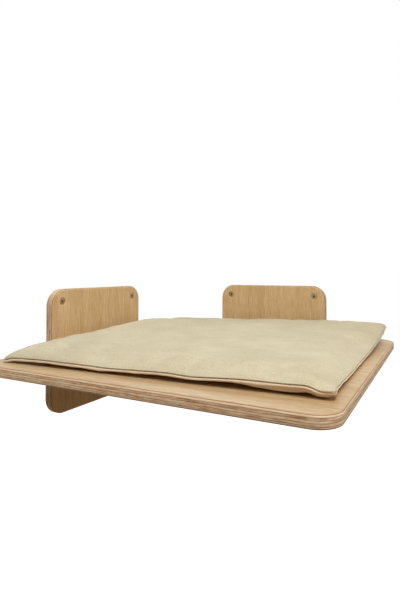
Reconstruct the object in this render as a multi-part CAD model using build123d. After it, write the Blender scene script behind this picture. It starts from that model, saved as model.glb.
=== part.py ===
from build123d import *
from math import cos, radians, sin
import os

# Cat wall corner shelf.
# A square plywood board stands out from a corner of a room, carried along its two wall edges
# by a pair of equal plywood plates that are screwed to the walls. A soft mat lies on the board.
# The origin is the centre of the back plate's rear face: +X to the right, +Y into the back wall
# and +Z up. The board's middle plane is at height 0.

# Board and plates
board_width = 400
board_depth = 400
ply_thickness = 12
board_corner_radius = 23
plate_width = 188
plate_height = 170
plate_corner_radius = 23
edge_rounding = 2.5

# Wall screws, one in each upper corner of a plate. They are short enough for none of them to
# show beside a plate when the shelf is seen from in front.
wall_screw_side_inset = 18.5
wall_screw_top_inset = 17
wall_screw_thread_radius = 2.5
wall_screw_shank_radius = 1.8
wall_screw_head_radius = 4.8
wall_screw_length = 30
wall_screw_thread_length = 18
wall_sink_radius = 5.5

# Assembly screws, from a plate's rear face into the board's edge
joint_screw_spacing = 130
joint_screw_thread_radius = 2
joint_screw_shank_radius = 1.4
joint_screw_head_radius = 4
joint_screw_length = 50
joint_screw_thread_length = 35
joint_sink_radius = 4.3

# What all screws share
screw_tip_length = 6
recess_slot_width = 1.1
recess_depth = 2.2
recess_span_share = 0.56
screw_hole_clearance = 0.25
screw_seat_clearance = 0.05
pilot_clearance = 0.05
pilot_end_clearance = 1

# Dowels between a plate and the board
dowel_spacing = 60
dowel_radius = 3
dowel_length = 30
dowel_length_in_plate = 8
dowel_chamfer = 0.8
dowel_hole_clearance = 0.05
dowel_end_clearance = 0.5

# Mat: how much of the board it leaves bare, counted on both sides together, and its form
mat_room_across = 34
mat_room_deep = 44
mat_turn = 2
mat_shift_right = 5
mat_shift_back = 8
mat_corner_radius = 7
mat_side_draw_in = 2.5
mat_fabric_thickness = 1.5
mat_seam_height = 8
mat_crown_height = 24

# Hook strips on the board and loop strips under the mat
strip_length = 50
strip_width = 20
strip_edge_inset = 40
hook_strip_thickness = 1.2
loop_strip_thickness = 1
strip_gap = 0.3

# The mat's profile is a quarter of a rounded curve above the seam and another below it. Each
# says how far the surface is drawn in from the seam where it is level, how square the curve
# is, 2 being an ellipse, and how many bands it is cut into.
mat_crown_inset = 120
mat_crown_squareness = 2.3
mat_crown_bands = 8
mat_underside_inset = 16
mat_underside_squareness = 2
mat_underside_bands = 4

# Sizes and places worked out from the sizes above
mat_width = board_width - mat_room_across
mat_depth = board_depth - mat_room_deep
board_top = ply_thickness / 2
board_centre_y = -ply_thickness - board_depth / 2
left_plate_rear_x = -board_width / 2 - ply_thickness
mat_underside = board_top + hook_strip_thickness + strip_gap + loop_strip_thickness
mat_seam = board_top + mat_seam_height
mat_crown = board_top + mat_crown_height
cut_overrun = 1

# A plate is modelled against the back wall: its rear face at Y 0, its front face towards -Y.
# The left plate and its fasteners are the same shapes, carried to the left wall.
back_place = Location((0, 0, 0))
left_place = Location((left_plate_rear_x, board_centre_y, 0), (0, 0, 90))

# The mat lies a little askew on the board.
mat_place = Location((mat_shift_right, board_centre_y + mat_shift_back, 0), (0, 0, mat_turn))

# Directions of a screw that is made standing on its tip, with its head's face at height 0.
head_to_room = Rotation(90, 0, 0)
head_to_wall = Rotation(-90, 0, 0)

wall_screw_x = plate_width / 2 - wall_screw_side_inset
wall_screw_z = plate_height / 2 - wall_screw_top_inset
wall_screw_spots = [(-wall_screw_x, wall_screw_z), (wall_screw_x, wall_screw_z)]
joint_screw_spots = [(-joint_screw_spacing / 2, 0), (joint_screw_spacing / 2, 0)]
dowel_spots = [(-dowel_spacing / 2, 0), (dowel_spacing / 2, 0)]

# How far a screw's head lies below the face that it is sunk into, so that its cone just clears
# the cone of the hole.
wall_head_depth = wall_sink_radius - wall_screw_head_radius - screw_seat_clearance
joint_head_depth = joint_sink_radius - joint_screw_head_radius - screw_seat_clearance


def rounded_sheet(width, height, corner_radius):
    """A sheet of plywood lying flat, with rounded corners and eased edges."""
    sheet = extrude(RectangleRounded(width, height, corner_radius), ply_thickness / 2, both=True)
    rims = sheet.faces().sort_by(Axis.Z)[0].edges() + sheet.faces().sort_by(Axis.Z)[-1].edges()
    return fillet(rims, edge_rounding)


def countersunk_screw(thread_radius, shank_radius, head_radius, length, thread_length):
    """A countersunk wood screw with a cross recess, its head's face at height 0.

    The thread is a plain cylinder of the thread's outer radius, thicker than the bare shank.
    """
    head_height = head_radius - shank_radius
    thread_start = -length + thread_length
    outline = Polyline(
        (0, 0),
        (head_radius, 0),
        (shank_radius, -head_height),
        (shank_radius, thread_start),
        (thread_radius, thread_start),
        (thread_radius, -length + screw_tip_length),
        (0, -length),
        close=True,
    )
    screw = revolve(Plane.XZ * make_face(outline), Axis.Z)
    span = 2 * head_radius * recess_span_share
    slot = Box(span, recess_slot_width, 2 * recess_depth)
    return screw - slot - Rotation(0, 0, 90) * slot


def sunk_hole(thread_radius, sink_radius, depth):
    """The space of a countersunk hole, its mouth at height 0: a cone at 45 degrees on a bore."""
    bore_radius = thread_radius + screw_hole_clearance
    cone_height = sink_radius - bore_radius
    outline = Polyline(
        (0, cut_overrun),
        (sink_radius, cut_overrun),
        (sink_radius, 0),
        (bore_radius, -cone_height),
        (bore_radius, -depth),
        (0, -depth),
        close=True,
    )
    return revolve(Plane.XZ * make_face(outline), Axis.Z)


def wall_plate():
    """One plywood plate against the back wall, with its screw holes and dowel holes."""
    plate = Rotation(90, 0, 0) * rounded_sheet(plate_width, plate_height, plate_corner_radius)
    plate = Pos(0, -ply_thickness / 2, 0) * plate
    through = ply_thickness + cut_overrun
    wall_hole = head_to_room * sunk_hole(wall_screw_thread_radius, wall_sink_radius, through)
    for x, z in wall_screw_spots:
        plate -= Pos(x, -ply_thickness, z) * wall_hole
    joint_hole = head_to_wall * sunk_hole(joint_screw_thread_radius, joint_sink_radius, through)
    for x, z in joint_screw_spots:
        plate -= Pos(x, 0, z) * joint_hole
    for x, z in dowel_spots:
        plate -= Pos(x, -ply_thickness / 2, z) * dowel_hole()
    return plate


def dowel_hole():
    """The space for a dowel, seen from the middle of a plate's thickness."""
    radius = dowel_radius + dowel_hole_clearance
    length = dowel_length + 2 * dowel_end_clearance
    front_shift = ply_thickness / 2 - dowel_length_in_plate + dowel_length / 2
    return Pos(0, -front_shift, 0) * Rotation(90, 0, 0) * Cylinder(radius, length)


def platform_board():
    """The square board, with the holes of both plates' fasteners in its wall edges."""
    board = Pos(0, board_centre_y, 0) * rounded_sheet(board_width, board_depth, board_corner_radius)
    pilot_length = joint_head_depth + joint_screw_length + pilot_end_clearance
    pilot = Cylinder(joint_screw_thread_radius + pilot_clearance, pilot_length)
    pilot = Pos(0, -pilot_length / 2, 0) * Rotation(90, 0, 0) * pilot
    for place in (back_place, left_place):
        for x, z in joint_screw_spots:
            board -= place * Pos(x, 0, z) * pilot
        for x, z in dowel_spots:
            board -= place * Pos(x, -ply_thickness / 2, z) * dowel_hole()
    return board


def wall_screws(place):
    """The two screws that hold a plate to its wall."""
    screw = head_to_room * countersunk_screw(
        wall_screw_thread_radius,
        wall_screw_shank_radius,
        wall_screw_head_radius,
        wall_screw_length,
        wall_screw_thread_length,
    )
    head_y = -ply_thickness + wall_head_depth
    return [place * Pos(x, head_y, z) * screw for x, z in wall_screw_spots]


def joint_screws(place):
    """The two screws that hold the board to a plate."""
    screw = head_to_wall * countersunk_screw(
        joint_screw_thread_radius,
        joint_screw_shank_radius,
        joint_screw_head_radius,
        joint_screw_length,
        joint_screw_thread_length,
    )
    return [place * Pos(x, -joint_head_depth, z) * screw for x, z in joint_screw_spots]


def dowels(place):
    """The two dowels that line a plate up with the board."""
    dowel = Cylinder(dowel_radius, dowel_length)
    dowel = chamfer(dowel.edges().filter_by(GeomType.CIRCLE), dowel_chamfer)
    centre_y = dowel_length_in_plate - ply_thickness - dowel_length / 2
    dowel = Pos(0, centre_y, 0) * Rotation(90, 0, 0) * dowel
    return [place * Pos(x, 0, z) * dowel for x, z in dowel_spots]


def mat_section(inset, height):
    """The mat's outline drawn in by inset, at a height, with slightly hollow sides."""
    x = mat_width / 2 - inset
    y = mat_depth / 2 - inset
    sides = Curve() + [
        ThreePointArc((-x, -y), (0, -y + mat_side_draw_in), (x, -y)),
        ThreePointArc((x, -y), (x - mat_side_draw_in, 0), (x, y)),
        ThreePointArc((x, y), (0, y - mat_side_draw_in), (-x, y)),
        ThreePointArc((-x, y), (-x + mat_side_draw_in, 0), (-x, -y)),
    ]
    outline = make_face(sides)
    outline = fillet(outline.vertices(), mat_corner_radius)
    return Pos(0, 0, height) * outline


def mat_half(level_inset, level_height, squareness, bands, wall):
    """The mat from its seam to where its surface is level, with that surface moved in by wall."""
    outward = 1 if level_height > mat_seam else -1
    rise = level_height - outward * wall - mat_seam
    sections = []
    for band in range(bands + 1):
        angle = radians(90 * band / bands)
        inset_share = 1 - cos(angle) ** (2 / squareness)
        height_share = sin(angle) ** (2 / squareness)
        sections.append(mat_section(wall + level_inset * inset_share, mat_seam + rise * height_share))
    return loft(sections, ruled=True)


def mat_upper_half(wall):
    """The mat above its seam, with its surface moved in by wall."""
    return mat_half(mat_crown_inset, mat_crown, mat_crown_squareness, mat_crown_bands, wall)


def mat_lower_half(wall):
    """The mat below its seam, with its surface moved in by wall."""
    return mat_half(
        mat_underside_inset, mat_underside, mat_underside_squareness, mat_underside_bands, wall
    )


def strips(thickness, underside):
    """Four strips near the mat's corners, lying along its front and back edges."""
    strip = Box(strip_length, strip_width, thickness)
    x = mat_width / 2 - strip_edge_inset - strip_length / 2
    y = mat_depth / 2 - strip_edge_inset - strip_width / 2
    height = underside + thickness / 2
    return [mat_place * Pos(side * x, end * y, height) * strip for side in (-1, 1) for end in (-1, 1)]


def write(name, pieces):
    """Writes one node, which holds one solid or several."""
    shape = Compound(children=pieces) if isinstance(pieces, list) else pieces
    export_step(shape, f"parts/{name}.step")


os.makedirs("parts", exist_ok=True)

plate = wall_plate()
write("platform_board", platform_board())
for side, place in (("back", back_place), ("left", left_place)):
    write(f"{side}_wall_plate", place * plate)
    write(f"{side}_wall_screws", wall_screws(place))
    write(f"{side}_joint_screws", joint_screws(place))
    write(f"{side}_dowels", dowels(place))

lower_filling = mat_lower_half(mat_fabric_thickness)
upper_filling = mat_upper_half(mat_fabric_thickness)
write("mat_bottom_cover", mat_place * (mat_lower_half(0) - lower_filling))
write("mat_top_cover", mat_place * (mat_upper_half(0) - upper_filling))
write("mat_filling", mat_place * (lower_filling + upper_filling))
write("hook_strips", strips(hook_strip_thickness, board_top))
write("loop_strips", strips(loop_strip_thickness, mat_underside - loop_strip_thickness))
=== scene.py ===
# %% [markdown]
# # A cat shelf for the corner of a room
# The shelf is a square plywood board between two plywood plates, with a felt mat lying on it.
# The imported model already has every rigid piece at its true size. This script gives those
# pieces their wood, steel and tape, and remakes the soft mat as sewn and stuffed cloth.

import random
from functools import partial
from math import exp, inf, pi, radians, tau

import bmesh
import bpy
from mathutils import Euler, Matrix, Vector, kdtree, noise


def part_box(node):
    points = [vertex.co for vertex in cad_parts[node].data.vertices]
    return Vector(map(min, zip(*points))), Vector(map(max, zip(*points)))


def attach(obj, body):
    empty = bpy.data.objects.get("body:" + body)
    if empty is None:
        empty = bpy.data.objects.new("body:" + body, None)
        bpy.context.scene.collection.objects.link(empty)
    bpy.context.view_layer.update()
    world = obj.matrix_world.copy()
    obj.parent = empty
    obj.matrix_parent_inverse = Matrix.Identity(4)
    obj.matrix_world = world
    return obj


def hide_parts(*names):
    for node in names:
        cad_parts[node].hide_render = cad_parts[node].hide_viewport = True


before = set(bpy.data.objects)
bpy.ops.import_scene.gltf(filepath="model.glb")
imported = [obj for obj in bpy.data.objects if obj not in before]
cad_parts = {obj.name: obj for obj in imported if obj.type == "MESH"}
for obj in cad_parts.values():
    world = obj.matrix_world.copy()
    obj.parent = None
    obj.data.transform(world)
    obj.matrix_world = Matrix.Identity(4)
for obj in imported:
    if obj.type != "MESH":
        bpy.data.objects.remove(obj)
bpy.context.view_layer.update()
mm = 0.001
per_mm = 1 / mm

# %% [markdown]
# ## Where everything is
# A piece is placed by measuring the piece that carries it, so nothing here repeats a place by
# hand. The board's box gives its top face, and each plate's box gives the face that the room
# sees.

# %% Measure the frame
board_low, board_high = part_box("platform_board")
back_plate_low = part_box("back_wall_plate")[0]
left_plate_low, left_plate_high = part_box("left_wall_plate")
board_top = board_high.z
board_middle = (board_low + board_high) / 2
x_axis, y_axis, z_axis = 0, 1, 2
print("board", [round(side / mm, 1) for side in board_high - board_low], "mm")

# %% [markdown]
# ## Helpers
# Colours are written as a painter's hex values, which are meant for a screen. Shaders count in
# linear light, so one function turns one into the other. A second one adds a shader node,
# with its settings and its links, because every material here is a tree of them. The rest put
# finished meshes into the scene.


# %% Colour and node helpers
def linear(hex_colour):
    """A hex colour for the screen as the linear colour that a shader takes."""
    channels = [int(hex_colour[start:start + 2], 16) / 255 for start in (1, 3, 5)]
    return [c / 12.92 if c <= 0.04045 else ((c + 0.055) / 1.055) ** 2.4 for c in channels] + [1]


def add_node(tree, kind, inputs=(), **settings):
    """Adds a node. Its inputs go by name or in order: a value, a hex colour, or what to link."""
    node = tree.nodes.new("ShaderNode" + kind)
    for name, value in settings.items():
        setattr(node, name, value)
    for key, value in inputs.items() if isinstance(inputs, dict) else enumerate(inputs):
        if isinstance(key, int):
            socket = node.inputs[key]
        else:
            socket = next(s for s in node.inputs if s.enabled and s.name == key)
        if isinstance(value, bpy.types.Node):
            value = next(s for s in value.outputs if s.enabled)
        if isinstance(value, bpy.types.NodeSocket):
            tree.links.new(value, socket)
        else:
            socket.default_value = linear(value) if isinstance(value, str) else value
    return node


def empty_tree(owner):
    """Empties the nodes of a material or a world, and returns what adds nodes to it."""
    owner.use_nodes = True
    owner.node_tree.nodes.clear()
    return partial(add_node, owner.node_tree)


def new_material(name):
    """A node material without nodes, and the function that adds them to it."""
    material = bpy.data.materials.new(name)
    return material, empty_tree(material)


def finish_material(add, height, bump_mm, strength, look):
    """Ends a material in a principled shader, whose surface is embossed by a height."""
    bump = add("Bump", {"Height": height, "Distance": bump_mm * mm, "Strength": strength})
    add("OutputMaterial", {"Surface": add("BsdfPrincipled", {**look, "Normal": bump})})


def place_in_mm(add):
    """The point of the piece that is being coloured, in millimetres."""
    place = add("TexCoord").outputs["Object"]
    return add("VectorMath", {0: place, "Scale": per_mm}, operation="SCALE")


def facing(add, axis):
    """How squarely the surface faces along an axis, from 0 to 1."""
    normal = add("SeparateXYZ", [add("TexCoord").outputs["Normal"]]).outputs
    return add("Math", [normal[axis]], operation="ABSOLUTE")


def stretched(add, place, size, axis, size_along):
    """A place in which a pattern's cells have one size, and another along an axis."""
    scale = [1 / size] * 3
    scale[axis] = 1 / size_along
    return add("Mapping", {"Vector": place, "Scale": scale})


def two_tones(add, value, band, first_tone, last_tone):
    """A colour that goes from one tone to another while a value goes through a band."""
    share = add("MapRange", {"Value": value, "From Min": band[0], "From Max": band[1]})
    return add("Mix", {"Factor": share, "A": first_tone, "B": last_tone}, data_type="RGBA")


# %% Mesh helpers
def grid_of(squares, half_side):
    """A flat square grid as a bmesh."""
    bm = bmesh.new()
    bmesh.ops.create_grid(bm, x_segments=squares, y_segments=squares, size=half_side)
    return bm


def mesh_of(name, bm):
    """A finished bmesh as a mesh."""
    mesh = bpy.data.meshes.new(name)
    bm.to_mesh(mesh)
    bm.free()
    return mesh


def joined(meshes):
    """Several meshes, which are used up, as one bmesh."""
    bm = bmesh.new()
    for mesh in meshes:
        bm.from_mesh(mesh)
        bpy.data.meshes.remove(mesh)
    return bm


def copies(mesh, places):
    """Copies of a mesh, each carried to a place."""
    made = [mesh.copy() for place in places]
    for copy, place in zip(made, places):
        copy.transform(place)
    return made


def new_object(name, data):
    """An object in the scene."""
    thing = bpy.data.objects.new(name, data)
    bpy.context.scene.collection.objects.link(thing)
    return thing


def mesh_object(name, bm):
    """An object in the scene from a finished bmesh."""
    return new_object(name, mesh_of(name, bm))


def paint(thing, material):
    """Gives a piece one material all over."""
    thing.data.materials.clear()
    thing.data.materials.append(material)


def new_piece(name, bm, material, body, node):
    """Turns a finished bmesh into a piece that rides on a body and stands for a node."""
    piece = mesh_object(name, bm)
    paint(piece, material)
    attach(piece, body)
    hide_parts(node)
    print(name, len(piece.data.polygons), "faces")
    return piece


# %% [markdown]
# ## The camera
# The picture was taken from just above the board, a little to the right of it. The place,
# the turn and the focal length come from lining up the corners of the board and the plates,
# which are a square and two rectangles. The picture's centre isn't the lens's centre, because
# it was cropped, so the lens is shifted instead of being turned.

# %% Camera
image_width = 400
image_height = 600
lens_centre_x = 219.3
lens_centre_y = 258.6
focal_length_pixels = 438.65
camera_place = Vector((268.1, -727.2, 109.2)) * mm
camera_turn_left = radians(27.2)
camera_tilt_up = radians(1.68)

camera_data = bpy.data.cameras.new("camera")
camera_data.lens = focal_length_pixels / image_height * camera_data.sensor_width
camera_data.shift_x = -(lens_centre_x - image_width / 2) / image_height
camera_data.shift_y = (lens_centre_y - image_height / 2) / image_height
camera = new_object("camera", camera_data)
camera.location = camera_place
camera.rotation_euler = Euler((pi / 2 + camera_tilt_up, 0, camera_turn_left))
bpy.context.scene.camera = camera
print("lens", round(camera_data.lens, 1), "mm")

# %% [markdown]
# ## Light and floor
# A product studio lights such a shelf with large soft boxes, so that the flat faces have no hot
# spots. The main one stands high in front, halfway to the right, so that it reaches both plates
# about alike, and hardly any light gets in under the mat's edge, which stays as dark as it is
# in life. A weaker one on the right lifts the left plate, and another behind keeps the plates'
# wall sides from going dark. The shelf hangs at a real height over a pale floor. The camera
# sees the floor and the world as white paper, while the light that they throw back at the wood
# is dim and a little warm, as it is when the walls of a studio are far away.

# %% World
light_from_above = 0.4
light_from_level = 0.03
paper_white = 1.0
white = "#ffffff"


def seen_directly(add):
    """1 for a ray from the camera, a mirror or a glass, and 0 for light that lights others."""
    rays = add("LightPath").outputs
    seen = add("Math", [rays["Is Camera Ray"], rays["Is Glossy Ray"]], operation="MAXIMUM")
    return add("Math", [seen, rays["Is Transmission Ray"]], operation="MAXIMUM")


world = bpy.data.worlds.new("studio")
bpy.context.scene.world = world
add = empty_tree(world)
direction = add("SeparateXYZ", [add("TexCoord").outputs["Generated"]])
fill = add("MapRange", {"Value": direction.outputs["Z"], "From Max": 0.9,
                        "To Min": light_from_level, "To Max": light_from_above})
soft_grey = add("Background", {"Color": white, "Strength": fill})
paper = add("Background", {"Color": white, "Strength": paper_white})
add("OutputWorld", {"Surface": add("MixShader", [seen_directly(add), soft_grey, paper])})

# %% Floor
floor_depth = 0.95
floor_size = 14.0
floor_glow = 0.8

floor_bm = grid_of(2, floor_size / 2)
bmesh.ops.translate(floor_bm, verts=floor_bm.verts, vec=(0, 0, -floor_depth))
floor = mesh_object("floor", floor_bm)

# Pale studio paper: matt, with a glow that only a direct look or a reflection sees.
floor_paper, add = new_material("studio_paper")
glow = add("Emission", {"Color": white, "Strength": floor_glow})
bright_paper = add("AddShader", [add("BsdfDiffuse", {"Color": "#f4f4f2"}), glow])
dim_paper = add("BsdfDiffuse", {"Color": "#876c40"})
add("OutputMaterial", {"Surface": add("MixShader", [seen_directly(add), dim_paper, bright_paper])})
paint(floor, floor_paper)

# %% Soft boxes
# Each has a name, a place, the length of a side in metres, and its power in watts.
for name, place, side, watts in (
    ("front_box", (0.65, -1.15, 1.6), 0.9, 29),
    ("right_box", (2.0, 0.1, 1.2), 1.0, 7),
    ("back_box", (-0.9, 1.5, 1.3), 1.0, 9),
):
    lamp = bpy.data.lights.new(name, "AREA")
    lamp.size = side
    lamp.energy = watts
    box = new_object(name, lamp)
    box.location = place
    box.rotation_euler = (board_middle - Vector(place)).to_track_quat("-Z", "Y").to_euler()

# %% [markdown]
# ## Plywood
# Plywood is thin sheets of wood glued crosswise, with a finer veneer on both faces. The finish
# is built as it is in the real sheet: the depth below a face says which sheet a point is in,
# and the direction of the surface says whether that sheet shows its long fibres or their
# sawn-off ends, which are darker. Because the pattern fills the solid, the rounded edges, the
# corners and the screw holes all cut through the layers without any further work.

# %% Plywood sizes
# In millimetres, apart from the number of plies, the streaks' band, the flecks' spacing, and the
# last three, which are the painted light's gains at the left and the right end of the bare edge,
# and the palest that the edge may be.
face_veneer = 0.6
inner_plies = 5
ply_sheet = (board_high.z - board_low.z) * per_mm
ply_step = (ply_sheet - 2 * face_veneer) / inner_plies
veneer_start = ply_sheet / 2 - face_veneer
first_glue = veneer_start - ply_step
veneer_blur = 0.04
ply_wave_length = 60
ply_wave_height = 0.45
streak_length = 15
streak_height = 0.5
streak_band = (0.36, 0.64)
patch_length = 22
pore_width = 1.1
pore_length = 22
figure_width = 13
figure_length = 260
fleck_width = 0.7
fleck_length = 3.2
fleck_spacing = 1 / 0.55
void_height = 0.55
void_length = 4.0
void_width = 2.0
void_depth = 4.2
edge_light_left = -220
edge_light_right = 180
left_light_gain = 1.4
right_light_gain = 1.08
brightest_wood = (0.95, 0.79, 0.58)
print("ply step", round(ply_step, 2), "mm")


# %% Which sheet of the plywood a point is in
def sheets(add, place, depth_axis, face_place, inward):
    """The place among the sheets, the distance from the middle sheet, and the veneer's share."""
    across = add("SeparateXYZ", [place]).outputs[depth_axis]
    below_face = add("Math", [across, face_place * per_mm], operation="SUBTRACT")
    flat_depth = add("Math", [below_face, inward], operation="MULTIPLY")
    off_middle = add("Math", [flat_depth, ply_sheet / 2], operation="SUBTRACT")
    from_middle = add("Math", [off_middle], operation="ABSOLUTE")
    wander = add("TexNoise", {"Vector": place, "Scale": 1 / ply_wave_length, "Detail": 1})
    wave = add("MapRange", {"Value": wander, "From Min": 0.3, "From Max": 0.7,
                            "To Min": -ply_wave_height, "To Max": ply_wave_height})
    inside = add("MapRange", {"Value": from_middle, "From Min": first_glue,
                              "From Max": first_glue - 0.4 * ply_step})
    depth = add("Math", [wave, inside, flat_depth], operation="MULTIPLY_ADD")
    depth = add("Math", [depth, face_veneer], operation="SUBTRACT")
    sheet = add("Math", [depth, ply_step], operation="DIVIDE")
    in_veneer = add("MapRange", {"Value": from_middle, "From Min": veneer_start - veneer_blur,
                                 "From Max": veneer_start + veneer_blur})
    return sheet, from_middle, in_veneer


# %% The sawn edge of the plywood
def sawn_edge(add, place, sheet, from_middle, axes_of_ply, tones):
    """The colour of the edge, and a height for its bump."""
    depth_axis, grain_axis, cross_axis = axes_of_ply
    number = add("Math", [sheet], operation="FLOOR")
    crosswise = add("Math", [number, 2], operation="FLOORED_MODULO")
    ends = add("Mix", {"Factor": crosswise, "A": facing(add, grain_axis),
                       "B": facing(add, cross_axis)})
    cut_across = add("MapRange", {"Value": ends, "From Min": 0.3, "From Max": 1.0})

    # Long thin streaks in the fibres, and stretches of each sheet that took up more of the dust.
    streak_place = stretched(add, place, streak_length, depth_axis, streak_height)
    streaks = add("TexNoise", {"Vector": streak_place, "Scale": 1, "Detail": 3, "Roughness": 0.65})
    flat_place = stretched(add, place, patch_length, depth_axis, inf)
    own_offset = add("CombineXYZ", [number, number, number])
    own_place = add("VectorMath", [flat_place, own_offset], operation="ADD")
    patches = add("TexNoise", {"Vector": own_place, "Scale": 1.7, "Detail": 3, "Roughness": 0.6})
    patch = add("MapRange", {"Value": patches, "From Min": 0.3, "From Max": 0.7,
                             "To Min": -0.45, "To Max": 0.4})
    below_first = add("MapRange", {"Value": from_middle, "From Min": first_glue + 0.2,
                                   "From Max": first_glue - 0.2})
    end_share = add("Math", [cut_across, tones["band"], patch], operation="MULTIPLY_ADD",
                    use_clamp=True)
    end_share = add("Math", [end_share, below_first], operation="MULTIPLY")
    fibres = two_tones(add, streaks, streak_band, tones["fibre_dark"], tones["fibre_light"])
    end_grain = two_tones(add, streaks, streak_band, tones["end_dark"], tones["end_light"])
    colour = add("Mix", {"Factor": end_share, "A": fibres, "B": end_grain}, data_type="RGBA")

    # Glue lines: thin ones that fade in and out, and a clear one right under the face veneer.
    in_sheet = add("Math", [sheet], operation="FRACT")
    off_centre = add("Math", [in_sheet, 0.5], operation="SUBTRACT")
    to_line = add("Math", [off_centre], operation="ABSOLUTE")
    thin_line = add("MapRange", {"Value": to_line, "From Min": 0.28, "From Max": 0.46})
    faded = add("MapRange", {"Value": patches, "From Min": 0.4, "From Max": 0.62,
                             "To Min": 0.5, "To Max": 0.9})
    thin_line = add("Math", [thin_line, faded], operation="MULTIPLY")
    width = tones["glue_width"]
    clear_line = add("MapRange", {"Value": from_middle, "From Min": veneer_start - width,
                                  "From Max": veneer_start - 0.4 * width, "To Max": 0.9})
    glue = add("Math", [thin_line, clear_line], operation="MAXIMUM")
    colour = add("Mix", {"Factor": glue, "A": colour, "B": tones["glue"]}, data_type="RGBA")

    # A void, where an inner sheet was laid with a gap: no hole is cut, and its shade is painted as
    # a dark spot.
    void_scale = [1 / void_width] * 3
    void_scale[depth_axis] = 1 / void_height
    void_scale[grain_axis] = 1 / void_length
    off_void = add("VectorMath", [place, tones["void"]], operation="SUBTRACT")
    off_void = add("VectorMath", [off_void, void_scale], operation="MULTIPLY")
    to_void = add("VectorMath", [off_void], operation="LENGTH")
    colour = two_tones(add, to_void, (1.1, 0.6), colour, "#4a2a14")

    # Painted light: the bare edge is brightened along its length, much more at the left end, where
    # more light falls on it, than at the right, and never past the palest wood.
    along_edge = add("SeparateXYZ", [place]).outputs["X"]
    painted_edge_light = add("MapRange", {"Value": along_edge, "From Min": edge_light_left, "From Max": edge_light_right,
                            "To Min": left_light_gain, "To Max": right_light_gain})
    colour = add("VectorMath", {0: colour, "Scale": painted_edge_light}, operation="SCALE")
    colour = add("VectorMath", [colour, brightest_wood], operation="MINIMUM")
    return colour, add("Math", [streaks, glue], operation="SUBTRACT")


# %% The face veneer of the plywood
def veneer(add, place, grain_axis, tones):
    """The colour of the face, and a height for its bump."""
    pore_place = stretched(add, place, pore_width, grain_axis, pore_length)
    pores = add("TexNoise", {"Vector": pore_place, "Scale": 1, "Detail": 3, "Roughness": 0.7})
    figure_place = stretched(add, place, figure_width, grain_axis, figure_length)
    figure = add("TexNoise", {"Vector": figure_place, "Scale": 1, "Detail": 4, "Roughness": 0.62,
                              "Distortion": 0.5})
    fleck_place = stretched(add, place, fleck_width * fleck_spacing, grain_axis,
                            fleck_length * fleck_spacing)
    to_fleck = add("TexVoronoi", {"Vector": fleck_place, "Scale": 1}).outputs["Distance"]
    mixed = add("Math", [figure, 0.35], operation="MULTIPLY")
    mixed = add("Math", [pores, 0.75, mixed], operation="MULTIPLY_ADD")
    colour = two_tones(add, mixed, (0.43, 0.7), tones["face_dark"], tones["face_light"])
    fleck = add("MapRange", {"Value": to_fleck, "From Min": 0.3, "From Max": 0.12, "To Max": 0.3})
    return add("Mix", {"Factor": fleck, "A": colour, "B": tones["fleck"]}, data_type="RGBA"), pores


# %% Plywood finish
# Birch plywood with a beech face, sanded and given one coat of satin lacquer: the faces show a
# soft sheen along fine straight grain, and the bare edges are matt and striped.
def plywood(name, tones, depth_axis, face_place, inward, grain_axis, cross_axis):
    """Plywood whose room-side face is at face_place on depth_axis, with its grain on grain_axis."""
    material, add = new_material(name)
    place = place_in_mm(add)
    sheet, from_middle, in_veneer = sheets(add, place, depth_axis, face_place, inward)
    axes_of_ply = (depth_axis, grain_axis, cross_axis)
    edge_colour, edge_height = sawn_edge(add, place, sheet, from_middle, axes_of_ply, tones)
    face_colour, face_height = veneer(add, place, grain_axis, tones)
    colour = add("Mix", {"Factor": in_veneer, "A": edge_colour, "B": face_colour}, data_type="RGBA")
    height = add("Mix", {"Factor": in_veneer, "A": edge_height, "B": face_height})
    roughness = add("MapRange", {"Value": in_veneer, "To Min": 0.68, "To Max": tones["satin"]})
    finish_material(add, height, 0.06, 0.6, {
        "Base Color": colour, "Roughness": roughness, "IOR": 1.5,
        "Specular IOR Level": tones["gloss"],
    })
    return material


# %% Plywood on the board and the plates
board_tones = {
    "face_dark": "#ad8d63", "face_light": "#d3b78b", "fleck": "#9f7e5a",
    "fibre_dark": "#d8ad81", "fibre_light": "#ffe9c8",
    "end_dark": "#96663c", "end_light": "#e6bd8f", "glue": "#80522e",
    "band": 0.72, "satin": 0.48, "gloss": 0.5, "glue_width": 0.8,
    "void": (120.0, board_high.y * per_mm, 1.5),
}
plate_tones = {
    "face_dark": "#caa46f", "face_light": "#ebcb9c", "fleck": "#a98250",
    "fibre_dark": "#bfa07c", "fibre_light": "#ead2ae",
    "end_dark": "#8c6a4c", "end_light": "#c2a486", "glue": "#75492a",
    "band": 0.6, "satin": 0.55, "gloss": 0.3, "glue_width": 1.3,
    "void": (left_plate_high.x * per_mm - void_depth, left_plate_low.y * per_mm, 28.3),
}
board_ply = plywood("plywood_board", board_tones, z_axis, board_high.z, -1, x_axis, y_axis)
back_ply = plywood("plywood_back_plate", plate_tones, y_axis, back_plate_low.y, 1, z_axis, x_axis)
left_ply = plywood("plywood_left_plate", plate_tones, x_axis, left_plate_high.x, -1, z_axis, y_axis)
paint(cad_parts["platform_board"], board_ply)
paint(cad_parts["back_wall_plate"], back_ply)
paint(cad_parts["left_wall_plate"], left_ply)

# %% [markdown]
# ## Dowels
# The dowels sit out of sight between a plate and the board. They are turned beech rod, so the
# grain runs along each rod and its ends are darker.


# %% Beech dowels
# Turned beech rod, left bare: pale pinkish tan with short dark flecks along the rod.
def beech_rod(name, rod_axis):
    """Beech with its grain along the rod."""
    material, add = new_material(name)
    grain_place = stretched(add, place_in_mm(add), fleck_width, rod_axis, pore_length)
    grain = add("TexNoise", {"Vector": grain_place, "Scale": 1, "Detail": 3})
    side = two_tones(add, grain, (0, 1), "#b98f68", "#dfba90")
    colour = two_tones(add, facing(add, rod_axis), (0, 1), side, "#a67c55")
    finish_material(add, grain, 0.05, 0.5, {"Base Color": colour, "Roughness": 0.62, "IOR": 1.5})
    return material


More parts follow.
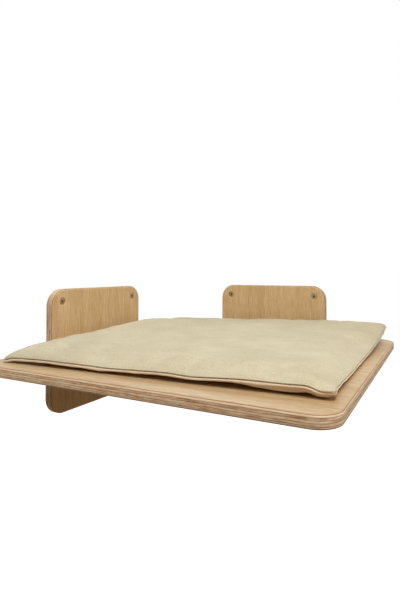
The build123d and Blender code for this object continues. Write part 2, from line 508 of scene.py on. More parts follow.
paint(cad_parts["back_dowels"], beech_rod("beech_rod_back", y_axis))
paint(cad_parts["left_dowels"], beech_rod("beech_rod_left", x_axis))

# %% [markdown]
# ## Screws
# The imported screws are smooth, because the wood and the wall plug around a thread need no
# spiral to work. Here each gets its real form. A countersunk head and shank are turned from one
# outline with a spin, the thread is a small triangle spun down a helix, and the cross recess is
# cut with a tapered cross. The zinc-plated steel is a metal with a slight haze from the plating.

# %% Steel finish
# Steel plated with zinc and passivated yellow: a brownish metal that clouds from gold to grey, with
# painted shade in the driver recess.
haze_size = 1.6

zinc, add = new_material("yellow_zinc_plated_steel")
haze = add("TexNoise", {"Vector": place_in_mm(add), "Scale": 1 / haze_size, "Detail": 3})
colour = two_tones(add, haze, (0.35, 0.65), "#8b6d47", "#bba682")
# Painted shade: the driver recess is coloured near black.
recess = add("Attribute", attribute_name="recess").outputs["Fac"]
colour = add("Mix", {"Factor": recess, "A": colour, "B": "#1d1209"}, data_type="RGBA")
roughness = add("MapRange", {"Value": haze, "To Min": 0.28, "To Max": 0.5})
finish_material(add, haze, 0.03, 0.5, {
    "Base Color": colour, "Metallic": 1.0, "Roughness": roughness,
})

# %% Screw sizes
# The head, shank, thread and core are radii.
screw_sides = 32
recess_depth = 2.2 * mm
recess_slot = 1.7 * mm
recess_floor_share = 0.45
recess_span_share = 0.66
shade_span_share = 0.71
shade_from = 0.3 * mm
shade_to = recess_depth + 0.01 * mm
rim_bevel = 0.2 * mm
thread_steps = 20
thread_sink = 0.12 * mm
thread_half_base = 0.24
thread_tip_gap = 0.35
thread_least_at_tip = 0.12
thread_least_at_start = 0.15
fade_in_turns = 1.2
least_core = 0.1 * mm
wall_screw = {
    "head": 4.8 * mm, "shank": 1.8 * mm, "thread": 2.5 * mm, "core": 1.6 * mm,
    "length": 30 * mm, "thread_length": 18 * mm, "tip": 6 * mm, "pitch": 2.2 * mm,
}
joint_screw = {
    "head": 4.0 * mm, "shank": 1.4 * mm, "thread": 2.0 * mm, "core": 1.25 * mm,
    "length": 50 * mm, "thread_length": 35 * mm, "tip": 6 * mm, "pitch": 1.8 * mm,
}


# %% Screw shape
def screw_body(size):
    """The head, shank and core of a screw, its head's face at height 0 and its tip down."""
    head_height = size["head"] - size["shank"]
    thread_start = size["thread_length"] - size["length"]
    outline = [
        (0, 0),
        (size["head"] - rim_bevel, 0),
        (size["head"], -rim_bevel),
        (size["shank"], -head_height - rim_bevel),
        (size["shank"], thread_start),
        (size["core"], thread_start - size["pitch"]),
        (size["core"], size["tip"] - size["length"]),
        (0, -size["length"]),
    ]
    bm = bmesh.new()
    verts = [bm.verts.new((radius, 0, height)) for radius, height in outline]
    edges = [bm.edges.new(pair) for pair in zip(verts, verts[1:])]
    bmesh.ops.spin(
        bm, geom=verts + edges, cent=(0, 0, 0), axis=(0, 0, 1), angle=tau, steps=screw_sides,
        use_merge=True,
    )
    bmesh.ops.remove_doubles(bm, verts=bm.verts, dist=0.001 * mm)
    bmesh.ops.recalc_face_normals(bm, faces=bm.faces)
    return bm


def recess_cutter(size):
    """A cross that narrows towards its floor, as a driver's tip does."""
    bm = bmesh.new()
    span = 2 * size["head"] * recess_span_share
    for turn in (0, pi / 2):
        arm = bmesh.ops.create_cube(bm, size=1)["verts"]
        for vert in arm:
            narrow = recess_floor_share if vert.co.z < 0 else 1
            vert.co *= Vector((span * narrow, recess_slot * narrow, 2 * recess_depth))
        bmesh.ops.rotate(bm, verts=arm, cent=(0, 0, 0), matrix=Matrix.Rotation(turn, 3, "Z"))
    return bm


def screw_thread(size):
    """One closed helical ridge, which fades in at the shank and out at the tip."""
    bm = bmesh.new()
    top = size["thread_length"] - size["length"]
    run = size["thread_length"] - size["tip"] * thread_tip_gap
    steps = int(run / size["pitch"] * thread_steps)
    half_base = size["pitch"] * thread_half_base
    inner = size["core"] - thread_sink
    corners = [(inner, half_base), (size["thread"], 0), (inner, -half_base)]
    verts = [bm.verts.new((radius, 0, top + height)) for radius, height in corners]
    face = bm.faces.new(verts)
    bmesh.ops.spin(
        bm, geom=[face] + list(face.edges) + verts, cent=(0, 0, 0), axis=(0, 0, 1),
        dvec=(0, 0, -size["pitch"] / thread_steps), angle=tau * steps / thread_steps, steps=steps,
    )
    for vert in bm.verts:
        radius = vert.co.xy.length
        from_tip = (vert.co.z + size["length"]) / size["tip"]
        from_start = (top - vert.co.z) / (size["pitch"] * fade_in_turns)
        core_here = size["core"] * min(1, from_tip)
        if radius > inner + thread_sink:
            tip_limit = size["thread"] * min(1, max(thread_least_at_tip, from_tip))
            start_limit = inner + (size["thread"] - inner) * max(thread_least_at_start, from_start)
            new_radius = max(min(tip_limit, start_limit), core_here)
        else:
            new_radius = max(core_here - thread_sink, least_core)
        vert.co.xy *= new_radius / radius
    holes = [edge for edge in bm.edges if edge.is_boundary]
    if holes:
        bmesh.ops.holes_fill(bm, edges=holes)
    bmesh.ops.recalc_face_normals(bm, faces=bm.faces)
    return bm


def screw_mesh(name, size):
    """The whole screw as one mesh: a recessed body and its thread."""
    body = mesh_object(name + "_body", screw_body(size))
    cutter = mesh_object(name + "_cutter", recess_cutter(size))
    cut = body.modifiers.new("recess", "BOOLEAN")
    cut.operation = "DIFFERENCE"
    cut.solver = "EXACT"
    cut.use_self = True
    cut.object = cutter
    bm = screw_thread(size)
    bm.from_mesh(body.evaluated_get(bpy.context.evaluated_depsgraph_get()).data)
    # Points deep in the cross recess are marked to have shade painted on them.
    recess = bm.verts.layers.float.new("recess")
    head_floor = size["shank"] - size["head"]
    for vert in bm.verts:
        inside = vert.co.xy.length < size["head"] * shade_span_share
        vert[recess] = inside and max(-shade_to, head_floor) < vert.co.z < -shade_from
    bpy.data.objects.remove(body)
    bpy.data.objects.remove(cutter)
    return mesh_of(name, bm)


def place_screws(node, mesh, points_along, head_turns):
    """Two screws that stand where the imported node's two screws are."""
    low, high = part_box(node)
    head_radius = max(vert.co.xy.length for vert in mesh.vertices)
    into_wall, across = (x_axis, y_axis) if abs(points_along.x) > 0.5 else (y_axis, x_axis)
    head_side = low if points_along[into_wall] > 0 else high
    turn = Vector((0, 0, -1)).rotation_difference(points_along).to_matrix().to_4x4()
    places = []
    for inset, end, head_turn in zip((head_radius, -head_radius), (low, high), head_turns):
        spot = (low + high) / 2
        spot[into_wall] = head_side[into_wall]
        spot[across] = end[across] + inset
        places.append(Matrix.Translation(spot) @ turn @ Matrix.Rotation(radians(head_turn), 4, "Z"))
    new_piece(node + "_threaded", joined(copies(mesh, places)), zinc, "shelf", node)


# %% Screws in their holes
into_back_wall = Vector((0, 1, 0))
into_left_wall = Vector((-1, 0, 0))
wall_screw_mesh = screw_mesh("wall_screw", wall_screw)
joint_screw_mesh = screw_mesh("joint_screw", joint_screw)
place_screws("back_wall_screws", wall_screw_mesh, into_back_wall, (20, 52))
place_screws("left_wall_screws", wall_screw_mesh, into_left_wall, (38, 8))
place_screws("back_joint_screws", joint_screw_mesh, -into_back_wall, (12, 70))
place_screws("left_joint_screws", joint_screw_mesh, -into_left_wall, (33, 61))

# %% [markdown]
# ## The mat's form
# The mat is two sheets of felt sewn together round a thin filling. It has lain on the shelf
# for a while: the seam runs close to the board in front and on the right, droops onto it at the
# front left corner, and curls up at the left and the back, most of all in the far right corner.
# So the seam's height is given at a few places along each side, and a smooth patch between the
# four sides carries the rest of the mat. Heights are in millimetres above the board, and shares
# run along a side from 0 to 1.

# %% Mat sizes
# In millimetres. The corners are places in the row's frame, and a band is the pair of places
# between which something begins and is complete.
corner_front_left = Vector((-183.0, -394.0))
corner_front_right = Vector((191.5, -375.5))
corner_back_right = Vector((189.5, -21.5))
corner_back_left = Vector((-182, -36))
half_width = 183.0
half_depth = 178.0
mat_corner_radius = 3.0
top_rise = 8.7
crown_rise = 0.8
crown_band = (10, 60)
rest_height = 2.65
board_clearance = 0.35
wide_pucker = 31.0
narrow_pucker = 11.0
gather_spacing = 24.0
gather_depth = 0.9
gather_width = 0.14
front_seam = [
    (0, 1.9), (0.02, 3.0), (0.045, 5.2), (0.15, 6.4), (0.3, 6.3), (0.4, 5.9), (0.58, 7.8),
    (0.65, 6.8), (0.76, 9.1), (0.9, 9.7), (0.937, 10.2), (0.96, 7.0), (1, 7.4),
]
right_seam = [
    (0, 7.4), (0.04, 6.6), (0.1, 5.4), (0.3, 4.3), (0.48, 4.9), (0.64, 7.4), (0.75, 10.4),
    (0.83, 13.2), (0.9, 16.3), (1, 20.8),
]
back_seam = [(0, 6.8), (0.24, 10.5), (0.5, 14.6), (0.77, 19.4), (0.9, 20.3), (1, 20.8)]
left_seam = [
    (0, 1.9), (0.03, 3.4), (0.08, 5.3), (0.19, 7.7), (0.3, 8.9), (0.4, 10.2), (0.49, 12.4),
    (0.58, 14.4), (0.67, 15.3), (0.77, 13), (0.82, 9.8), (0.92, 9.4), (1, 6.8),
]
front_draw_in = [(0, 0), (0.3, 0.3), (0.7, 0.3), (1, 0)]
right_draw_in = [(0, 0), (0.06, 3.2), (0.3, 4.2), (0.5, 3.9), (0.66, 2.1), (0.85, 0.3), (1, 0)]
slight_draw_in = [(0, 0), (0.3, 1.5), (0.7, 1.5), (1, 0)]


# %% The seam's height all over the mat
def blend(share, at_none, at_all):
    """The value between two others that lies at a share of the way."""
    return (1 - share) * at_none + share * at_all


def ease(value, start, end):
    """0 before start and 1 after end, with a soft ramp between."""
    t = min(1, max(0, (value - start) / (end - start)))
    return t * t * (3 - 2 * t)


def within(value, way_in, way_out):
    """1 inside a stretch and 0 outside it, with a soft ramp at both of its ends."""
    return ease(value, *way_in) * (1 - ease(value, *way_out))


def part_way(place):
    """A place from -1 to 1 as a share from 0 to 1."""
    return (place + 1) / 2


def along(points, share):
    """The value at a share of a side, on a smooth curve through the points."""
    last = len(points) - 1
    here = next((i for i in range(last) if share <= points[i + 1][0]), last - 1)
    (start, low), (end, high) = points[here], points[here + 1]
    before = points[max(here - 1, 0)]
    after = points[min(here + 2, last)]
    span = end - start
    slope_in = (high - before[1]) / (end - before[0])
    slope_out = (after[1] - low) / (after[0] - start)
    t = (share - start) / span
    return (
        (2 * t**3 - 3 * t**2 + 1) * low + (t**3 - 2 * t**2 + t) * span * slope_in
        + (3 * t**2 - 2 * t**3) * high + (t**3 - t**2) * span * slope_out
    )


def seam_height(u, v):
    """The height that the four sides' seams give to a point: u runs right, v runs back."""
    front_to_back = blend(v, along(front_seam, u), along(back_seam, u))
    left_to_right = blend(u, along(left_seam, v), along(right_seam, v))
    front_corners = blend(u, front_seam[0][1], front_seam[-1][1])
    back_corners = blend(u, back_seam[0][1], back_seam[-1][1])
    return front_to_back + left_to_right - blend(v, front_corners, back_corners)


# %% [markdown]
# A cover is a grid of squares, worked in rings from its edge to its middle. Each ring is the
# mat's outline drawn in by some amount at some height, so a short list of rings shapes the
# edge, and evenly spaced rings fill the rest. In front and on the right the top swells slowly
# from the seam, and at the left and the back, where the mat leans on nothing, it is rounder.
# The two covers meet in a groove, where the stitches pull the felt in: that groove is the thin
# dark line round the mat. The lower cover's folded edge sticks out below it as a pale lip.

# %% Rings of the covers
# Each ring is its inset from the mat's outline and its height over the seam, in millimetres. A
# belly ring's second number is its share of how far the lower cover hangs down there.
grid_squares = 108
flat_edge_rings = [
    (3.0, 0.0), (1.7, 0.3), (1.0, 0.65), (0.9, 1.15), (1.9, 1.9), (4.2, 3.2), (8.0, 4.8),
    (13.5, 6.5), (20.0, 7.8), (28.0, 8.6),
]
round_edge_rings = [
    (3.0, 0.0), (1.6, 0.35), (0.8, 0.8), (0.5, 1.6), (0.9, 2.9), (2.0, 4.6), (3.9, 6.1),
    (6.4, 7.4), (9.8, 8.3), (14.0, 8.7),
]
lip_rings = [
    (3.0, 0.0), (1.3, -0.3), (0.4, -0.6), (0.0, -1.3), (0.3, -2.1), (1.2, -2.6), (2.6, -2.75),
]
belly_rings = [(3.6, 0.12), (4.0, 0.6), (5.0, 0.95), (8.0, 1.15)]
belly_along_front = [
    (0, 0.4), (0.55, 0.4), (0.66, 0.5), (0.76, 1.4), (0.86, 3.8), (0.92, 4.2), (0.955, 3.2),
    (1, 2.1),
]
belly_elsewhere = 0.6
lip_in_front = 1.0
lip_elsewhere = 0.45
lip_unevenness = 2.0
edge_unevenness = 0.15
top_unevenness = 0.45
outline_unevenness = 0.7
groove_elsewhere = 0.2
groove_in_front = 0.62
groove_rim = 1.0
lip_rim = 0.5
least_groove_shade = 0.1
lip_shade = 0.62
belly_shade = 0.42
hanging_band = (0.8, 2.0)
front_band = (0.9, 0.98)
behind_front = (0.005, 0.06)
fold_band = (0.938, 0.953)
flat_band = (0.15, 0.85)
smooth_edge = (3, 15)
settle_band = (8.0, 38.0)
not_zero = 1e-9


def belly(u, v):
    """How far the lower cover hangs below the lip: most under the front's right half."""
    return blend(ease(v, *behind_front), along(belly_along_front, u), belly_elsewhere)


def flatness(x, y):
    """1 for the front and right sides and 0 for the left and back, from a place in the grid."""
    return 0.5 + 0.5 * (x - y) / max(abs(x) + abs(y), not_zero)


def past_fold(x, y):
    """1 beside the front seam's right end, past the fold of the lower cover."""
    return ease(-y, *front_band) * ease(part_way(x), *fold_band)


def groove(x, y):
    """How deep the stitches pull the felt in: most in front, and not at all past the fold."""
    depth = blend(ease(-y, *front_band), groove_elsewhere, groove_in_front)
    return depth * (1 - past_fold(x, y))


def drawn_in(ring, inset, rim, x, y):
    """The inset of a ring: the two nearest the sewn line go in as deep as the groove is there."""
    return blend(groove(x, y), rim, inset) if ring < 2 else inset


def top_ring(ring, x, y):
    """Inset and rise of a ring of the top cover."""
    share = ease(flatness(x, y), *flat_band)
    index = min(ring, len(flat_edge_rings) - 1)
    rings = zip(round_edge_rings[index], flat_edge_rings[index])
    inset, rise = [blend(share, rounder, flatter) for rounder, flatter in rings]
    return drawn_in(ring, inset, groove_rim, x, y), rise


def lower_ring(ring, x, y):
    """Inset and rise of a ring of the lower cover."""
    u, v = part_way(x), part_way(y)
    lip = blend(ease(v, *behind_front), lip_in_front, lip_elsewhere)
    if ring < len(lip_rings):
        inset, rise = lip_rings[ring]
        return drawn_in(ring, inset, groove_rim if ring == 0 else lip_rim, x, y), rise * lip
    inset, share = belly_rings[min(ring - len(lip_rings), len(belly_rings) - 1)]
    return inset, lip_rings[-1][1] * lip - share * belly(u, v)


def in_plan(x, y, ring, inset, ring_count):
    """A grid point's place, as shares from -1 to 1 of the half width and the half depth."""
    reach = max(abs(x), abs(y), not_zero)
    scale_x = 1 - inset / half_width
    scale_y = 1 - inset / half_depth
    if ring >= ring_count:
        inward = (grid_squares / 2 - ring) / (grid_squares / 2 - ring_count + 1)
        scale_x *= inward
        scale_y *= inward
    share_x = x / reach * scale_x
    share_y = y / reach * scale_y
    radius = mat_corner_radius - inset
    if ring < ring_count and radius > 0:
        corner_x = abs(share_x) * half_width - (scale_x * half_width - radius)
        corner_y = abs(share_y) * half_depth - (scale_y * half_depth - radius)
        if corner_x > 0 and corner_y > 0:
            pull = 1 - max(corner_x, corner_y) / Vector((corner_x, corner_y)).length
            share_x -= (1 if share_x > 0 else -1) * corner_x * pull / half_width
            share_y -= (1 if share_y > 0 else -1) * corner_y * pull / half_depth
    return share_x, share_y


def inside_edge(share_x, share_y):
    """How far a point of the flat mat lies from its nearest side, in millimetres."""
    return min((1 - abs(share_x)) * half_width, (1 - abs(share_y)) * half_depth)


def in_room(share_x, share_y, height):
    """A point of the mat in the row's frame, in metres, with the sides drawn in."""
    u, v = part_way(share_x), part_way(share_y)
    front = corner_front_left.lerp(corner_front_right, u)
    back = corner_back_left.lerp(corner_back_right, u)
    place = front.lerp(back, v)
    u_side = min(1, max(0, u))
    v_side = min(1, max(0, v))
    place.x += (1 - u)**3 * along(slight_draw_in, v_side) - u**3 * along(right_draw_in, v_side)
    place.y += (1 - v)**3 * along(front_draw_in, u_side) - v**3 * along(slight_draw_in, u_side)
    return Vector((place.x * mm, place.y * mm, board_top + height * mm))


def puckers(share_x, share_y, amount):
    """A small unevenness, as hand-fed sewing leaves along an edge."""
    point = Vector((share_x * half_width, share_y * half_depth, 0))
    slow = noise.noise(point / wide_pucker)
    quick = noise.noise(point / narrow_pucker + Vector((7.0, 3.0, 1.0)))
    return amount * (0.7 * slow + 0.5 * quick)


def crown(share_x, share_y):
    """How much higher the top is than a flat one: most in the middle."""
    return crown_rise * (1 - share_x**2) * (1 - share_y**2)


def gathers(u, v):
    """Short dents beside the far half of the right seam, where the felt was eased in."""
    near_seam = within(u, (0.915, 0.945), (0.975, 0.99))
    along_seam = within(v, (0.45, 0.6), (0.88, 0.95))
    wander = 0.3 * noise.noise((v * 9.0, 0.5, 0.5))
    off_dent = (v * 2 * half_depth / gather_spacing + wander) % 1 - 0.5
    return -gather_depth * near_seam * along_seam * exp(-(off_dent / gather_width) ** 2)


# %% Felt covers as grids
def cover_height(is_top, ring, share_x, share_y, inset, rise):
    """The height of a point of a cover above the board."""
    u, v = part_way(share_x), part_way(share_y)
    seam = seam_height(u, v)
    if is_top:
        middle = ease(inset, *crown_band) * crown(share_x, share_y)
        amount = edge_unevenness + top_unevenness * ease(inset, *smooth_edge)
        return seam + rise + middle + puckers(share_x, share_y, amount) + gathers(u, v)
    on_lip = within(ring, (1, 5), (6, 11))
    uneven = on_lip * min(0, puckers(share_x, share_y, lip_unevenness))
    height = blend(ease(inset, *settle_band), seam + rise + uneven, rest_height)
    return max(height, board_clearance)


def groove_shade_at(is_top, ring, x, y):
    """How much shade is painted on the felt: most on the sewn line, on the lip past the fold, and
    where the lower cover hangs down in front.
    """
    sewn_line = max(0, 1 - ring / 2) * max(0, groove(x, y) - least_groove_shade)
    if is_top or ring > len(lip_rings):
        return sewn_line
    if ring < len(lip_rings) - 1:
        return max(sewn_line, lip_shade * past_fold(x, y))
    hangs_down = ease(belly(part_way(x), part_way(y)), *hanging_band)
    return belly_shade * ease(-y, *front_band) * hangs_down


def felt_cover(is_top):
    """One cover as a bmesh grid. Its outermost ring is the sewn line."""
    bm = grid_of(grid_squares, 1)
    ring_count = len(flat_edge_rings) if is_top else len(lip_rings) + len(belly_rings)
    groove_shade = bm.verts.layers.float.new("groove_shade")
    for vert in bm.verts:
        x, y = vert.co.xy
        reach = max(abs(x), abs(y), not_zero)
        ring = round((1 - max(abs(x), abs(y))) * grid_squares / 2)
        inset, rise = top_ring(ring, x, y) if is_top else lower_ring(ring, x / reach, y / reach)
        share_x, share_y = in_plan(x, y, ring, inset, ring_count)
        if ring >= ring_count:
            inset = inside_edge(share_x, share_y)
        height = cover_height(is_top, ring, share_x, share_y, inset, rise)
        wander = puckers(x, y, outline_unevenness) if ring < ring_count else 0
        share_x *= 1 + wander / half_width
        share_y *= 1 + wander / half_depth
        vert.co = in_room(share_x, share_y, height)
        # How much shade is painted on this point of the felt.
        vert[groove_shade] = groove_shade_at(is_top, ring, x, y)
    if not is_top:
        bmesh.ops.reverse_faces(bm, faces=bm.faces)
    return bm


# %% [markdown]
# ## The mat as cloth
# The two grids are welded along the sewn line into a closed bag and blown up a little with
# Blender's Cloth, with no gravity. The sewn edge is held fast, and so is the part of the lower
# cover that lies on its tapes. The rest is held softly near its place, so the felt swells
# between its seams and buckles a little where there is too much of it, but the mat keeps the
# form that it has on the shelf. The movement is then copied from the bag to each cover.

# %% Sew the bag
cloth_steps = 20
most_movement = 3.0 * mm
least_grip = 0.07
grip_band = (4, 24)
lying_flat = rest_height + 0.2
felt_slack = 0.012
cover_seam_reach = 0.45 * mm
cloth_settings = {
    "quality": 6, "mass": 0.3, "tension_stiffness": 20, "compression_stiffness": 20,
    "shear_stiffness": 8, "bending_stiffness": 1.5, "use_pressure": True,
    "uniform_pressure_force": 4, "vertex_group_mass": "held", "pin_stiffness": 1.0,
    "shrink_min": -felt_slack,
}


def sewn_together(halves, reach):
    """Two halves with the same outline, welded along it into one closed skin."""
    bm = joined([mesh_of("half", half) for half in halves])
    sewn_line = [vert for vert in bm.verts if vert.is_boundary]
    bmesh.ops.remove_doubles(bm, verts=sewn_line, dist=reach)
    return bm


def sewn_bag():
    """Both covers welded along the sewn line into one closed bag."""
    bm = sewn_together([felt_cover(True), felt_cover(False)], cover_seam_reach)
    bmesh.ops.recalc_face_normals(bm, faces=bm.faces)
    return mesh_object("sewn_bag", bm)


def edge_distance(place):
    """How far a point of the mat lies from its edge in plan, in millimetres."""
    flat = place.xy / mm
    corners = [corner_front_left, corner_front_right, corner_back_right, corner_back_left]
    sides = zip(corners, corners[1:] + corners[:1])
    return min((end - start).normalized().cross(flat - start) for start, end in sides)


# %% Blow it up
def blow_up(bag):
    """Runs the cloth, and returns each start place with its movement."""
    held = bag.vertex_groups.new(name="held")
    start = [vert.co.copy() for vert in bag.data.vertices]
    for index, place in enumerate(start):
        from_edge = edge_distance(place)
        on_tapes = (place.z - board_top) / mm < lying_flat and from_edge > settle_band[0]
        grip = 1 if on_tapes else blend(ease(from_edge, *grip_band), 1, least_grip)
        held.add([index], grip, "REPLACE")
    cloth = bag.modifiers.new("cloth", "CLOTH")
    for name, value in cloth_settings.items():
        setattr(cloth.settings, name, value)
    cloth.settings.effector_weights.gravity = 0
    cloth.point_cache.frame_start = 1
    cloth.point_cache.frame_end = cloth_steps
    scene = bpy.context.scene
    for step in range(1, cloth_steps + 1):
        scene.frame_set(step)
    evaluated = bag.evaluated_get(bpy.context.evaluated_depsgraph_get())
    moves = [after.co - before for before, after in zip(start, evaluated.data.vertices)]
    scene.frame_set(1)
    for move in moves:
        if move.length > most_movement:
            move.length = most_movement
    return start, moves


bag_start, bag_moves = [], []
bag = sewn_bag()
bag_start, bag_moves = blow_up(bag)
bpy.data.objects.remove(bag)
print("cloth moved up to", round(max(move.length for move in bag_moves) / mm, 2), "mm")


def follow_cloth(bm):
    """Moves a mesh as the cloth moved where it was."""
    if not bag_start:
        return
    tree = kdtree.KDTree(len(bag_start))
    for index, place in enumerate(bag_start):
        tree.insert(place, index)
    tree.balance()
    for vert in bm.verts:
        index = tree.find(vert.co)[1]
        vert.co += bag_moves[index]
        vert.co.z = max(vert.co.z, board_top + board_clearance * mm)


# %% [markdown]
# ## Felt
# Felt has no weave: it is pressed fibre, so it has no threads to draw. What the eye reads as felt
# is a matt surface with a faint mottle where the fibres lie thicker, a fine fuzz at the grazing
# edges, and no sharp highlights. The lower cover and its folded hem are a lighter and pinker felt
# than the top. Shade is painted into the felt in the groove between them, so each cover carries a
# painted shade value that is highest on the sewn line and fades beside it; the same value darkens
# the lip past the fold and the belly that hangs below the lip.

# %% Felt sizes
# In millimetres. Real fibres are about 0.02 thick, and the fuzz is drawn larger so that it shows.
felt_thickness = 1.2
mottle_size = 45
fuzz_size = 1.1
rub_length = 14
rub_width = 6
dimple_size = 6
back_shade_start = -200
back_shade_end = -30


# %% Felt finish
# Pressed polyester felt: matt, faintly mottled, with a soft sheen where it turns away.
def felt(name, dark, light, back_shade):
    """Felt between two close tones, with a darker one painted towards the wall as shade."""
    material, add = new_material(name)
    place = place_in_mm(add)
    mottle = add("TexNoise", {"Vector": place, "Scale": 1 / mottle_size, "Detail": 2})
    fuzz = add("TexNoise", {"Vector": place, "Scale": 1 / fuzz_size, "Detail": 3,
                            "Roughness": 0.75})
    rub_place = stretched(add, place, rub_length, y_axis, rub_width)
    rubbed = add("TexNoise", {"Vector": rub_place, "Scale": 1, "Detail": 2})
    dimples = add("TexNoise", {"Vector": place, "Scale": 1 / dimple_size, "Detail": 2})
    mixed = add("Math", [mottle, 0.22], operation="MULTIPLY")
    mixed = add("Math", [fuzz, 0.68, mixed], operation="MULTIPLY_ADD")
    mixed = add("Math", [rubbed, 0.1, mixed], operation="MULTIPLY_ADD")
    colour = two_tones(add, mixed, (0.4, 0.6), dark, light)
    # Painted shade: the felt darkens towards the wall, at the back of the mat, where less light
    # falls.
    depth = add("SeparateXYZ", [place]).outputs["Y"]
    painted_back_shade = add("MapRange", {"Value": depth, "From Min": back_shade_start,
                                    "From Max": back_shade_end, "To Max": 0.3})
    colour = add("Mix", {"Factor": painted_back_shade, "A": colour, "B": back_shade}, data_type="RGBA")
    # Painted shade from each point's stored value: along the sewn line, on the lip past the fold
    # and under the hanging belly.
    groove_shade = add("Attribute", attribute_name="groove_shade").outputs["Fac"]
    groove_shade_share = add("Math", [groove_shade, 1.5], operation="MULTIPLY", use_clamp=True)
    colour = add("Mix", {"Factor": groove_shade_share, "A": colour, "B": "#a87440"}, data_type="RGBA")
    height = add("Math", [dimples, 2.0, fuzz], operation="MULTIPLY_ADD")
    finish_material(add, height, 0.12, 0.5, {
        "Base Color": colour, "Roughness": 0.95, "IOR": 1.45, "Specular IOR Level": 0.25,
        "Sheen Weight": 0.1, "Sheen Roughness": 0.6,
    })
    return material


# %% Covers with their thickness
def sewn_cover(name, is_top, material, node):
    """A finished cover: cloth movement, real thickness and one subdivision."""
    bm = felt_cover(is_top)
    follow_cloth(bm)
    cover = new_piece(name, bm, material, "mat", node)
    cover.data.shade_smooth()
    wall = cover.modifiers.new("felt_thickness", "SOLIDIFY")
    wall.thickness = felt_thickness * mm
    wall.offset = -1
    wall.use_rim = True
    smooth = cover.modifiers.new("smooth", "SUBSURF")
    smooth.levels = 1
    smooth.render_levels = 1


# Each felt's third tone is painted shade towards the wall.
top_felt = felt("felt_top_beige", "#c0b393", "#dacfaf", "#a99772")
lower_felt = felt("felt_lower_blush", "#dac2a3", "#edd8bb", "#c2a986")
sewn_cover("felt_top_cover", True, top_felt, "mat_top_cover")
sewn_cover("felt_lower_cover", False, lower_felt, "mat_bottom_cover")

# %% [markdown]
# ## The filling
# Inside the covers is a thin pad of loose polyester wadding. It is never seen on the shelf, but
# it is what holds the covers apart, so it is a closed pad that follows them from inside.

# %% Wadding
wadding_gap = 2.5
wadding_inset = 5.0
wadding_rim = 27.0
wadding_rim_rise = 1.2
wadding_unevenness = 0.5
wadding_sag = 0.4
wadding_lift = 0.6
wadding_tuft = 6
wadding_squares = 60
pad_seam_reach = 0.2 * mm

# Carded polyester wadding: white, matt and cloudy, with tufts a few millimetres across.
wadding, add = new_material("polyester_wadding")
tufts = add("TexNoise", {"Vector": place_in_mm(add), "Scale": 1 / wadding_tuft, "Detail": 5})
colour = two_tones(add, tufts, (0, 1), "#e2e1dc", "#f6f5f2")
finish_material(add, tufts, 1.2, 0.7, {
    "Base Color": colour, "Roughness": 1.0, "IOR": 1.45, "Sheen Weight": 0.3,
})


def wadding_face(is_top):
    """The upper or the lower face of the pad, level with the other at its rim."""
    bm = grid_of(wadding_squares, 1)
    for vert in bm.verts:
        share_x = vert.co.x * (1 - wadding_inset / half_width)
        share_y = vert.co.y * (1 - wadding_inset / half_depth)
        inset = inside_edge(share_x, share_y)
        seam = seam_height(part_way(share_x), part_way(share_y))
        if is_top:
            top = seam + top_rise + crown(share_x, share_y) - wadding_gap
            middle = top + puckers(share_x, share_y, wadding_unevenness) - wadding_sag
        else:
            low = blend(ease(inset, *settle_band), seam, rest_height + wadding_gap)
            middle = low + wadding_lift
        filled = ease(inset, wadding_inset, wadding_inset + wadding_rim)
        height = blend(filled, seam + wadding_rim_rise, middle)
        vert.co = in_room(share_x, share_y, max(height, board_clearance + wadding_gap))
    follow_cloth(bm)
    if not is_top:
        bmesh.ops.reverse_faces(bm, faces=bm.faces)
    return bm


pad_bm = sewn_together([wadding_face(True), wadding_face(False)], pad_seam_reach)
pad = new_piece("wadding_pad", pad_bm, wadding, "mat", "mat_filling")
pad.data.shade_smooth()

# %% [markdown]
# ## Hook and loop tape
# Four pairs of tape keep the mat from sliding. The hooks are on the board and the loops are
# under the mat, so both only show when the mat is lifted. A real tape has hundreds of tiny
# moulded mushrooms or woven loops, drawn here at about twice their real spacing.

# %% Tape finish
# Nylon tape, woven and heat set: slightly glossy cream threads over a matt ground.
weave_size = 1.6

tape, add = new_material("nylon_tape")
weave = add("TexWave", {"Vector": place_in_mm(add), "Scale": 1 / weave_size, "Distortion": 1.5,
                        "Detail": 2})
colour = two_tones(add, weave, (0, 1), "#cfc8b6", "#e6e0d0")
finish_material(add, weave, 0.08, 0.6, {"Base Color": colour, "Roughness": 0.55, "IOR": 1.53})

# %% Tape sizes
tape_ground = 0.45 * mm
tape_corner = 2 * mm
tape_margin = 1.6 * mm
mat_turn = radians(2)
hook_pitch = 2.0 * mm
hook_stem = 0.16 * mm
hook_cap = 0.38 * mm
hook_taper = 0.75
loop_pitch = 2.4 * mm
loop_thread = 0.09 * mm
most_lean = 0.5
draw = random.Random(7)


def strips_of(node):
    """The flat place, half length and half width of each of a node's strips, from its mesh."""
    bm = bmesh.new()
    bm.from_mesh(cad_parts[node].data)
    bmesh.ops.remove_doubles(bm, verts=bm.verts, dist=0.01 * mm)
    strips = []
    done = set()
    for first in bm.verts:
        if first in done:
            continue
        part = {first}
        edge = {first}
        while edge:
            edge = {e.other_vert(vert) for vert in edge for e in vert.link_edges} - part
            part |= edge
        done |= part
        corners = [vert.co for vert in bm.verts if vert in part]
        centre = sum(corners, Vector()) / len(corners)
        centre.z = 0
        place = Matrix.Translation(centre) @ Matrix.Rotation(mat_turn, 4, "Z")
        inside = place.inverted()
        corners = [inside @ corner for corner in corners]
        strips.append((place, max(c.x for c in corners), max(c.y for c in corners)))
    bm.free()
    return strips


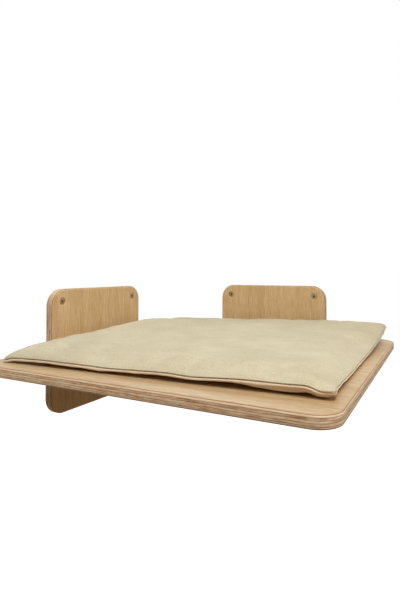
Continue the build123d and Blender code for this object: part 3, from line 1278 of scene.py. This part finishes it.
# %% Strips of tape
def tape_slab(half_length, half_wide, low):
    """The flat woven ground of one strip, with its corners rounded."""
    bm = bmesh.new()
    bmesh.ops.create_cube(bm, size=1)
    upright = [e for e in bm.edges if e.verts[0].co.xy == e.verts[1].co.xy]
    bmesh.ops.scale(bm, verts=bm.verts, vec=(2 * half_length, 2 * half_wide, tape_ground))
    bmesh.ops.translate(bm, verts=bm.verts, vec=(0, 0, low + tape_ground / 2))
    bmesh.ops.bevel(
        bm, geom=upright, offset=tape_corner, affect="EDGES", segments=4, profile=0.5, material=-1
    )
    return mesh_of("slab", bm)


def tape_piece(name, node, body, ground_low, tuft, tuft_height, pitch, twist):
    """A node's strips with rows of tufts at a height, turned at random where the twist is 1."""
    strips = []
    for place, half_length, half_wide in strips_of(node):
        columns = int((2 * half_length - 2 * tape_margin) / pitch)
        rows = int((2 * half_wide - 2 * tape_margin) / pitch)
        row_meshes = [tape_slab(half_length, half_wide, ground_low)]
        for row in range(rows + 1):
            places = []
            for column in range(columns + 1):
                turn = Matrix.Rotation(draw.uniform(0, pi) * twist, 4, "Z")
                lean = Matrix.Rotation(draw.uniform(-most_lean, most_lean) * twist, 4, "X")
                spot = ((column - columns / 2) * pitch, (row - rows / 2) * pitch, tuft_height)
                places.append(Matrix.Translation(spot) @ turn @ lean)
            row_meshes.append(mesh_of("row", joined(copies(tuft, places))))
        strip = mesh_of("strip", joined(row_meshes))
        strip.transform(place)
        strips.append(strip)
    new_piece(name, joined(strips), tape, body, node)


# %% Hooks on the board
hook_low, hook_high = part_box("hook_strips")
stem_top = hook_high.z - hook_stem
tuft_bm = bmesh.new()
for radius, low, high in (
    (hook_stem, hook_low.z + tape_ground / 2, stem_top), (hook_cap, stem_top, hook_high.z)
):
    part = bmesh.ops.create_cone(
        tuft_bm, cap_ends=True, segments=6, radius1=radius, radius2=radius * hook_taper,
        depth=high - low,
    )
    bmesh.ops.translate(tuft_bm, verts=part["verts"], vec=(0, 0, (low + high) / 2))
hook_tuft = mesh_of("hook_tuft", tuft_bm)
tape_piece("hook_tape", "hook_strips", "shelf", hook_low.z, hook_tuft, 0, hook_pitch, 0)

# %% Loops under the mat
loop_low, loop_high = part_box("loop_strips")
ground_low = loop_high.z - tape_ground
loop_radius = (ground_low - loop_low.z) / 2
tuft_bm = bmesh.new()
thread = bmesh.ops.create_circle(tuft_bm, segments=4, radius=loop_thread)["verts"]
bmesh.ops.translate(tuft_bm, verts=thread, vec=(loop_radius - loop_thread, 0, 0))
bmesh.ops.spin(
    tuft_bm, geom=list(tuft_bm.verts) + list(tuft_bm.edges), cent=(0, 0, 0), axis=(0, 1, 0),
    angle=tau, steps=8, use_merge=True,
)
bmesh.ops.recalc_face_normals(tuft_bm, faces=tuft_bm.faces)
loop_tuft = mesh_of("loop_tuft", tuft_bm)
loop_middle = loop_low.z + loop_radius
tape_piece("loop_tape", "loop_strips", "mat", ground_low, loop_tuft, loop_middle, loop_pitch, 1)

# %% [markdown]
# ## Colour management
# Standard keeps a colour on the screen as it was written.

# %% Finish
bpy.context.scene.view_settings.view_transform = "Standard"
